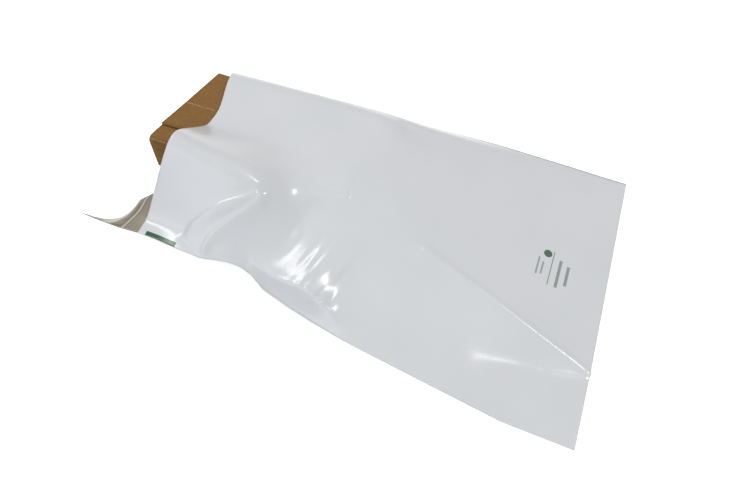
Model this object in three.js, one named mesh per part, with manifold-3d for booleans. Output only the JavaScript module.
// Poly mailer lying on a table, with a folded carton slid part way into its mouth.
// Millimetres, +Z up. X runs along the bag from its mouth to its folded bottom edge, +Y points to its far
// side, and the sheets are laid out by their distance from the far edge.
import * as THREE from 'three';
import { mergeVertices } from 'three/addons/utils/BufferGeometryUtils.js';
import Module from 'manifold-3d';

// Mailer film
const BAG_WIDTH = 320;            // flat width between the two welded sides
const BAG_LENGTH = 440;           // mouth to folded bottom edge
const FLAP_HEIGHT = 60;           // closing flap, an extension of the back sheet
const FILM = 0.8;                 // drawn thickness; the real film is thinner
const WELD = 6;                   // width of the side and bottom welds
const WELD_EASE = 8;              // distance over which the two sheets part beside the far and bottom welds
const NEAR_WELD_EASE = 1;         // the same beside the near weld, where the pleat holds them together
const WELD_OVERLAP = 0.25 * FILM; // how far the two sheets run into each other in a weld
const AIR = 0.6;                  // gap between the two sheets where they lie on each other
const MOUTH_BOW = 12;             // how far the carton draws back the middle of the mouth

// Pleat in the near half of the mouth, standing clear of the table
const PLEAT_CREST = 94;           // height of its crest at the mouth
const PLEAT_FOOT = 96;            // its width at the mouth, from the carton to the near side
const PLEAT_LENGTH = 190;         // distance from the mouth at which it has died out
const PLEAT_CREST_PLACE = 0.27;   // place of the crest, as a share of the way from carton to near side
const SIDE_DRAWN_FROM = 110;      // distances from the mouth between which the drawn-in side runs out again
const SIDE_DRAWN_TO = 400;
const SIDE_LIFT = 33;             // height of the near side at the mouth
const SIDE_LIFT_LENGTH = 130;      // distance over which it comes down to the table

// Flap
const FOLD_RADIUS = 1;            // bend where the flap is folded flat under the bag
const FLAP_SPRING_FROM = 0.4;     // shares of the near side between which the flap springs out straight
const FLAP_SPRING_TO = 1;
const LINER_START = 14;           // distances of the liner and the glue from the mouth
const GLUE_START = 17;
const GLUE_END = 28;
const LINER_END = 37;
const GLUE = 0.3;                 // drawn thicknesses of the glue stripe and the liner
const LINER = 0.3;

// Carton
const CARTON_LENGTH = 205;
const CARTON_WIDTH = 106;
const CARTON_HEIGHT = 42;
const CARTON_REACH = 30;          // how far its near top corner stands out beyond the near end of the mouth
const CARTON_FROM_FAR = 53;       // its far wall to the bag's far side
const END_SKEW = 33;              // how far the far corner of the open end stands back
const END_LEAN = 9;               // how far the foot of the open end stands back
const LAP_SHOWING = 18;           // strip of the lower panel that the closing flap leaves bare
const BOARD = 1.5;                // corrugated board

// Fits
const GAP = 0.3;                  // between pieces that rest on each other
const COVER_GAP = 0.5;            // between the carton and the film over it
const EDGE_ROOM = 3;              // film stands off the carton's edges by this much
const FLAP_ROOM = 2;              // the pleat keeps its height this far past the flap folded into it
const DIP_FROM_EDGE = 36;         // the film leaves the carton's top this far before its near edge
const SAG_POWER = 1.4;            // how hollow the film hangs from the carton to the near side
const RUN_OUT = 24;               // the film over the carton is down this far before the bottom edge
const SETTLE_LENGTH = 24;         // past the folded flap the back sheet comes down to the table over this

// Levels, worked out from the pieces that lie on each other
const flapLevel = LINER + GAP + GLUE + GAP + FILM / 2;
const flatLevel = FILM / 2;
const mouthLevel = flapLevel + 2 * FOLD_RADIUS;
const cartonFloor = mouthLevel + FILM / 2 + GAP;
const cartonTop = cartonFloor + CARTON_HEIGHT;
const coverLevel = cartonTop + COVER_GAP + FILM / 2;
const sheetStep = FILM + AIR;
const cartonNear = CARTON_FROM_FAR + CARTON_WIDTH;
const cartonEnd = CARTON_LENGTH - CARTON_REACH;
const farLine = CARTON_FROM_FAR - EDGE_ROOM;
const nearLine = cartonNear + EDGE_ROOM;
const dipLine = cartonNear - DIP_FROM_EDGE;
const sideDrawnIn = BAG_WIDTH - nearLine - PLEAT_FOOT;
const pleatHeld = FLAP_HEIGHT + FLAP_ROOM;
const coverEnd = cartonEnd + EDGE_ROOM;
const coverRunOut = BAG_LENGTH - RUN_OUT;

const { smoothstep, lerp, clamp } = THREE.MathUtils;
const fade = (x, from, to) => 1 - smoothstep(x, from, to);

// Distance from the far side to the near side, which the pleat draws in.
function nearEdge(x) {
  return BAG_WIDTH - sideDrawnIn * fade(x, SIDE_DRAWN_FROM, SIDE_DRAWN_TO);
}

// Share of the way from the carton to the near weld.
function nearShare(x, across) {
  return clamp((across - nearLine) / (nearEdge(x) - WELD - nearLine), 0, 1);
}

// Place across the bag of the pleat's crest.
function crestPlace(x) {
  return lerp(nearLine, nearEdge(x) - WELD, PLEAT_CREST_PLACE);
}

// Height of the pleat: a quarter sine up from the carton's side, then half a cosine down to the lifted edge.
function pleatHeight(x, share) {
  const crest = PLEAT_CREST * fade(x, pleatHeld, PLEAT_LENGTH);
  const lift = SIDE_LIFT * fade(x, 0, SIDE_LIFT_LENGTH);
  if (share <= PLEAT_CREST_PLACE) return crest * Math.sin((Math.PI / 2) * (share / PLEAT_CREST_PLACE));
  const down = (share - PLEAT_CREST_PLACE) / (1 - PLEAT_CREST_PLACE);
  return lift + (crest - lift) * (0.5 + 0.5 * Math.cos(Math.PI * down));
}

// Middle of the back sheet: on the table, raised over the folded flap and in the pleat.
function backLevel(x, across) {
  const raised = lerp(flatLevel, mouthLevel, fade(x, FLAP_HEIGHT, FLAP_HEIGHT + SETTLE_LENGTH));
  return raised + pleatHeight(x, nearShare(x, across));
}

// Upright distance between two nested sheets, larger where they are steep.
function nestedStep(x, across) {
  const reach = 1;
  const rise = backLevel(x, across + reach) - backLevel(x, across - reach);
  return sheetStep * Math.hypot(1, rise / (2 * reach));
}

// Film stretched over the carton: level on its top, sloping to the seams and running out past its end.
function coverHeight(x, across) {
  const farSlope = clamp((across - WELD) / (farLine - WELD), 0, 1);
  const nearSlope = Math.pow(1 - nearShare(x, across), SAG_POWER);
  return coverLevel * farSlope * nearSlope * fade(x, coverEnd, coverRunOut);
}

// Middle of the top sheet.
function topLevel(x, across) {
  const back = backLevel(x, across);
  const inWeld = across <= WELD || across >= nearEdge(x) - WELD || x >= BAG_LENGTH - WELD;
  if (inWeld) return back + FILM - WELD_OVERLAP;
  const draped = Math.max(coverHeight(x, across), back + nestedStep(x, across));
  const crest = crestPlace(x);
  if (across < dipLine || across > crest) return draped;
  const crestLevel = backLevel(x, crest) + nestedStep(x, crest);
  const ramp = lerp(coverHeight(x, dipLine), crestLevel, (across - dipLine) / (crest - dipLine));
  return Math.max(draped, ramp);
}

// The mouth is bowed back at its middle, and the bow dies out along the bag.
function bowed(x, across) {
  return x + MOUTH_BOW * Math.sin((Math.PI * across) / nearEdge(x)) * (1 - x / BAG_LENGTH);
}

// Grid lines along the bag, closer together over the pleat and at the bottom weld.
const pleatRows = Array.from({ length: 9 }, (_, i) => (i * coverEnd) / 9);
const flatRows = Array.from({ length: 7 }, (_, i) => lerp(coverEnd, BAG_LENGTH - WELD - WELD_EASE, i / 6));
const rowPlaces = [...pleatRows, ...flatRows, BAG_LENGTH - WELD, BAG_LENGTH];

// Grid lines across the bag at one distance from the mouth.
function columnPlaces(x) {
  const farWeld = [0, WELD, WELD + WELD_EASE, (WELD + farLine) / 2];
  const overCarton = [0, 1, 2, 3].map((i) => lerp(farLine, dipLine, i / 3));
  const dipToEdge = [1, 2, 3].map((i) => lerp(dipLine, nearLine, i / 3));
  const edge = nearEdge(x);
  const pleat = [PLEAT_CREST_PLACE / 3, (2 * PLEAT_CREST_PLACE) / 3, PLEAT_CREST_PLACE,
    ...Array.from({ length: 8 }, (_, i) => lerp(PLEAT_CREST_PLACE, 1, (i + 1) / 9))];
  const nearSlope = pleat.map((share) => lerp(nearLine, edge - WELD, share));
  const nearWeld = [edge - WELD - NEAR_WELD_EASE, edge - WELD, edge];
  return [...farWeld, ...overCarton, ...dipToEdge, ...nearSlope, ...nearWeld];
}

function sheetRow(x, level) {
  return columnPlaces(x).map((across) => new THREE.Vector3(bowed(x, across), -across, level(x, across)));
}

// One line across the flap, at a distance beyond the mouth. Each point leaves the mouth along -X and bends
// towards the outside of the bag, by nothing at the near side and flat back under the bag at the carton.
function flapRow(distance) {
  const mouth = sheetRow(0, backLevel);
  return mouth.map((point, i) => {
    const before = mouth[Math.max(i - 1, 0)];
    const after = mouth[Math.min(i + 1, mouth.length - 1)];
    const across = new THREE.Vector3(0, after.y - before.y, after.z - before.z).normalize();
    const outside = new THREE.Vector3(1, 0, 0).cross(across);
    const turn = Math.max(1e-3, Math.PI * fade(nearShare(0, -point.y), FLAP_SPRING_FROM, FLAP_SPRING_TO));
    const bend = lerp(FLAP_HEIGHT, Math.PI * FOLD_RADIUS, smoothstep(turn, Math.PI / 2, Math.PI));
    const radius = bend / turn;
    const angle = Math.min(distance, bend) / radius;
    const straight = Math.max(0, distance - bend);
    const forward = radius * Math.sin(angle) + straight * Math.cos(angle);
    const sideways = radius * (1 - Math.cos(angle)) + straight * Math.sin(angle);
    return point.clone().addScaledVector(outside, sideways).add(new THREE.Vector3(-forward, 0, 0));
  });
}

// Unit normals of a grid of points, up for a sheet that lies flat.
function normalsOf(rows) {
  const last = rows.length - 1;
  return rows.map((row, i) => row.map((_, j) => {
    const along = rows[Math.min(i + 1, last)][j].clone().sub(rows[Math.max(i - 1, 0)][j]);
    const across = row[Math.min(j + 1, row.length - 1)].clone().sub(row[Math.max(j - 1, 0)]);
    return across.cross(along).normalize();
  }));
}

// Closed slab between two offsets from a grid of points, along the grid's normals.
function slab(rows, normals, low, high) {
  const count = rows.length;
  const width = rows[0].length;
  const positions = [];
  for (const offset of [high, low]) {
    rows.forEach((row, i) => row.forEach((point, j) => {
      positions.push(...point.clone().addScaledVector(normals[i][j], offset).toArray());
    }));
  }
  const upper = (i, j) => i * width + j;
  const lower = (i, j) => count * width + i * width + j;
  const index = [];
  const quad = (a, b, c, d) => index.push(a, b, c, a, c, d);
  for (let i = 0; i + 1 < count; i++) {
    for (let j = 0; j + 1 < width; j++) {
      quad(upper(i, j), upper(i, j + 1), upper(i + 1, j + 1), upper(i + 1, j));
      quad(lower(i, j), lower(i + 1, j), lower(i + 1, j + 1), lower(i, j + 1));
    }
    quad(upper(i, 0), upper(i + 1, 0), lower(i + 1, 0), lower(i, 0));
    quad(upper(i + 1, width - 1), upper(i, width - 1), lower(i, width - 1), lower(i + 1, width - 1));
  }
  for (let j = 0; j + 1 < width; j++) {
    quad(upper(0, j + 1), upper(0, j), lower(0, j), lower(0, j + 1));
    quad(upper(count - 1, j), upper(count - 1, j + 1), lower(count - 1, j + 1), lower(count - 1, j));
  }
  const geometry = new THREE.BufferGeometry();
  geometry.setAttribute('position', new THREE.Float32BufferAttribute(positions, 3));
  geometry.setIndex(index);
  return geometry;
}

const wasm = await Module();
wasm.setup();

function solidOf(geometry) {
  const merged = mergeVertices(geometry);
  const mesh = new wasm.Mesh({
    numProp: 3,
    vertProperties: Float32Array.from(merged.attributes.position.array),
    triVerts: Uint32Array.from(merged.index.array),
  });
  return new wasm.Manifold(mesh);
}

function geometryOf(solid) {
  const { vertProperties, triVerts } = solid.getMesh();
  const geometry = new THREE.BufferGeometry();
  geometry.setAttribute('position', new THREE.BufferAttribute(vertProperties, 3));
  geometry.setIndex(new THREE.BufferAttribute(triVerts, 1));
  return geometry;
}

// Flap rows from the free edge to the mouth: at both edges of the liner and the glue, and round the fold.
const foldEnd = Math.PI * FOLD_RADIUS;
const foldPlaces = [4, 3, 2, 1].map((quarter) => (quarter * foldEnd) / 4);
const flapPlaces = [FLAP_HEIGHT, LINER_END, GLUE_END, GLUE_START, LINER_START, ...foldPlaces];
const backRows = [...flapPlaces.map(flapRow), ...rowPlaces.map((x) => sheetRow(x, backLevel))];
const backNormals = normalsOf(backRows);
const topRows = rowPlaces.map((x) => sheetRow(x, topLevel));

// Top sheet and back sheet with its flap, run into each other along the welds.
function mailerFilm() {
  const top = solidOf(slab(topRows, normalsOf(topRows), -FILM / 2, FILM / 2));
  const back = solidOf(slab(backRows, backNormals, -FILM / 2, FILM / 2));
  return geometryOf(top.add(back));
}

// Strip on the flap's inner face between two distances from the mouth, clear of the welds at both ends.
function flapStrip(start, end, low, high) {
  const first = flapPlaces.indexOf(end);
  const last = flapPlaces.indexOf(start);
  const cut = (grid) => grid.slice(first, last + 1).map((row) => row.slice(1, -1));
  return slab(cut(backRows), cut(backNormals), low, high);
}

function adhesiveStrip() {
  const low = FILM / 2 + GAP;
  return flapStrip(GLUE_START, GLUE_END, low, low + GLUE);
}

function releaseLiner() {
  const low = FILM / 2 + GAP + GLUE + GAP;
  return flapStrip(LINER_START, LINER_END, low, low + LINER);
}

// Carton section across the bag, stepped where the closing flap laps over the lower panel, drawn out along X.
// Its open end is cut askew.
function carton() {
  const section = new THREE.Shape();
  const stepPlace = cartonNear - LAP_SHOWING;
  section.moveTo(-CARTON_FROM_FAR, cartonFloor);
  section.lineTo(-CARTON_FROM_FAR, cartonTop);
  section.lineTo(-stepPlace, cartonTop);
  section.lineTo(-stepPlace, cartonTop - BOARD);
  section.lineTo(-cartonNear, cartonTop - BOARD);
  section.lineTo(-cartonNear, cartonFloor);
  section.closePath();
  const geometry = new THREE.ExtrudeGeometry(section, { depth: CARTON_LENGTH, bevelEnabled: false });
  geometry.applyMatrix4(new THREE.Matrix4().set(0, 0, 1, -CARTON_REACH, 1, 0, 0, 0, 0, 1, 0, 0, 0, 0, 0, 1));
  const position = geometry.attributes.position;
  for (let i = 0; i < position.count; i++) {
    if (position.getX(i) > 0) continue;
    const skew = (END_SKEW * (position.getY(i) + cartonNear)) / CARTON_WIDTH;
    const lean = (END_LEAN * (cartonTop - position.getZ(i))) / CARTON_HEIGHT;
    position.setX(i, position.getX(i) + skew + lean);
  }
  return geometry;
}

function piece(name, geometry, color, roughness) {
  const mesh = new THREE.Mesh(geometry, new THREE.MeshStandardMaterial({ color, roughness, metalness: 0 }));
  mesh.name = name;
  return mesh;
}

const mailer = new THREE.Group();
mailer.add(piece('mailer_film', mailerFilm(), 0xe4e7ea, 0.32));
mailer.add(piece('adhesive_strip', adhesiveStrip(), 0xb79f7a, 0.45));
mailer.add(piece('release_liner', releaseLiner(), 0xd9d6cd, 0.4));
mailer.add(piece('carton', carton(), 0xa2753f, 0.85));

// The origin is the middle of the footprint, on the table.
const extent = new THREE.Box3().setFromObject(mailer);
const middle = extent.getCenter(new THREE.Vector3());
mailer.position.set(-middle.x, -middle.y, -extent.min.z);

export default mailer;
